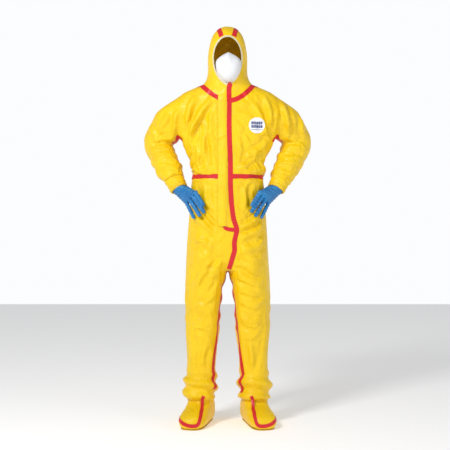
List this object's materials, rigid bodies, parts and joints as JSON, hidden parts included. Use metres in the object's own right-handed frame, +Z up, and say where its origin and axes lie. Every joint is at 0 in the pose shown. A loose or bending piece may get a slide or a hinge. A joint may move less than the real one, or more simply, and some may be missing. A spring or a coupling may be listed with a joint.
{
  "type": "chemical protective suit",
  "caption": "Hooded one-piece protective coverall with taped seams and attached boots, worn with gloves and a moulded dust mask, arms bent, hands on hips.",
  "frame": {"origin": "on the floor, under the middle of the whole", "axes": "+Z up, the wearer faces -Y, the wearer's left side is +X"},
  "size_m": [0.7984, 0.3387, 1.852],
  "materials": {
    "yellow_fabric": "coated nonwoven film, softly glossy",
    "red_tape": "welded seam tape, satin",
    "elastic": "ribbed elastic",
    "label": "printed transfer",
    "zipper_tape": "woven polyester",
    "zipper_teeth": "moulded",
    "zipper_metal": "worn nickel",
    "adhesive": "release liner",
    "mask": "moulded nonwoven felt",
    "blue_rubber": "smooth nitrile, satin",
    "sole": "slip-resistant coated fabric"
  },
  "bodies": {
    "torso": {"chest_panel_left": "yellow_fabric", "chest_panel_right": "yellow_fabric", "back_panel": "yellow_fabric", "hip_panel_left": "yellow_fabric", "hip_panel_right": "yellow_fabric", "seat_panel": "yellow_fabric", "waist_elastic": "elastic", "waist_seam_tape": "red_tape", "neck_seam_tape": "red_tape", "crotch_seam_tape": "red_tape", "chest_label": "label", "neck_collar": "yellow_fabric", "zipper_tapes": "zipper_tape", "zipper_teeth": "zipper_teeth", "zipper_bottom_stop": "zipper_metal", "flap_seam_tapes": "red_tape", "shoulder_fold_left": "yellow_fabric", "shoulder_fold_right": "yellow_fabric", "groin_fold_left": "yellow_fabric", "groin_fold_right": "yellow_fabric"},
    "flap": {"storm_flap": "yellow_fabric", "flap_adhesive_strip": "adhesive"},
    "slider": {"zipper_slider": "zipper_metal"},
    "pull": {"zipper_pull": "zipper_metal"},
    "hood": {"hood_panel_left": "yellow_fabric", "hood_panel_right": "yellow_fabric", "hood_centre_panel": "yellow_fabric", "hood_seam_tapes": "red_tape", "face_elastic": "elastic"},
    "dust_mask": {"mask_cup": "mask", "mask_straps": "elastic"},
    "upper_arm_left": {"upper_sleeve_left": "yellow_fabric", "elbow_fold_left": "yellow_fabric"},
    "forearm_left": {"forearm_sleeve_left": "yellow_fabric", "forearm_seam_tape_left": "red_tape", "cuff_elastic_left": "elastic"},
    "hand_left": {"glove_left": "blue_rubber"},
    "thigh_left": {"thigh_leg_left": "yellow_fabric", "thigh_inseam_tape_left": "red_tape", "knee_fold_left": "yellow_fabric"},
    "shin_left": {"shin_leg_left": "yellow_fabric", "shin_inseam_tape_left": "red_tape", "boot_left": "yellow_fabric", "boot_sole_left": "sole", "boot_seam_tapes_left": "red_tape"},
    "upper_arm_right": {"upper_sleeve_right": "yellow_fabric", "elbow_fold_right": "yellow_fabric"},
    "forearm_right": {"forearm_sleeve_right": "yellow_fabric", "forearm_seam_tape_right": "red_tape", "cuff_elastic_right": "elastic"},
    "hand_right": {"glove_right": "blue_rubber"},
    "thigh_right": {"thigh_leg_right": "yellow_fabric", "thigh_inseam_tape_right": "red_tape", "knee_fold_right": "yellow_fabric"},
    "shin_right": {"shin_leg_right": "yellow_fabric", "shin_inseam_tape_right": "red_tape", "boot_right": "yellow_fabric", "boot_sole_right": "sole", "boot_seam_tapes_right": "red_tape"}
  },
  "joints": [
    {"name": "storm_flap_hinge", "type": "hinge", "parent": "torso", "child": "flap", "pos_m": [0.0075, -0.09797, 1.21063], "axis": [0, 0.0599, 0.9982], "range_deg": [0, 130]},
    {"name": "zipper_slide", "type": "slide", "parent": "torso", "child": "slider", "axis": [0, -0.0599, -0.9982], "range_m": [0, 0.52], "deforming": ["zipper_teeth"]},
    {"name": "zipper_pull_swing", "type": "hinge", "parent": "slider", "child": "pull", "pos_m": [-0.014, -0.08334, 1.48941], "axis": [-1, 0, 0], "range_deg": [0, 7]},
    {"name": "hood_tilt", "type": "hinge", "parent": "torso", "child": "hood", "pos_m": [0, 0.036, 1.6], "axis": [1, 0, 0], "range_deg": [-12, 20], "deforming": ["neck_collar"]},
    {"name": "dust_mask_slide", "type": "slide", "parent": "hood", "child": "dust_mask", "axis": [0, -1, 0], "range_m": [0, 0.12]},
    {"name": "shoulder_left", "type": "hinge", "parent": "torso", "child": "upper_arm_left", "pos_m": [0.2, 0.026, 1.478], "axis": [0, -1, 0], "range_deg": [0, 50], "deforming": ["shoulder_fold_left"]},
    {"name": "elbow_left", "type": "hinge", "parent": "upper_arm_left", "child": "forearm_left", "pos_m": [0.335, 0.106, 1.325], "axis": [0.5838, -0.8065, 0.0934], "range_deg": [0, 75], "deforming": ["elbow_fold_left"]},
    {"name": "glove_slide_left", "type": "slide", "parent": "forearm_left", "child": "hand_left", "axis": [-0.3913, -0.3802, -0.838], "range_m": [0, 0.02]},
    {"name": "hip_left", "type": "hinge", "parent": "torso", "child": "thigh_left", "pos_m": [0.1, 0.021, 0.765], "axis": [-1, 0, 0], "range_deg": [-10, 40], "deforming": ["groin_fold_left"]},
    {"name": "knee_left", "type": "hinge", "parent": "thigh_left", "child": "shin_left", "pos_m": [0.115, 0.015, 0.49], "axis": [1, 0, 0], "range_deg": [0, 55], "deforming": ["knee_fold_left"]},
    {"name": "shoulder_right", "type": "hinge", "parent": "torso", "child": "upper_arm_right", "pos_m": [-0.2, 0.026, 1.478], "axis": [0, 1, 0], "range_deg": [0, 50], "deforming": ["shoulder_fold_right"]},
    {"name": "elbow_right", "type": "hinge", "parent": "upper_arm_right", "child": "forearm_right", "pos_m": [-0.335, 0.106, 1.325], "axis": [0.5838, 0.8065, -0.0934], "range_deg": [0, 75], "deforming": ["elbow_fold_right"]},
    {"name": "glove_slide_right", "type": "slide", "parent": "forearm_right", "child": "hand_right", "axis": [0.3913, -0.3802, -0.838], "range_m": [0, 0.02]},
    {"name": "hip_right", "type": "hinge", "parent": "torso", "child": "thigh_right", "pos_m": [-0.1, 0.021, 0.765], "axis": [-1, 0, 0], "range_deg": [-10, 40], "deforming": ["groin_fold_right"]},
    {"name": "knee_right", "type": "hinge", "parent": "thigh_right", "child": "shin_right", "pos_m": [-0.115, 0.015, 0.49], "axis": [1, 0, 0], "range_deg": [0, 55], "deforming": ["knee_fold_right"]}
  ]
}
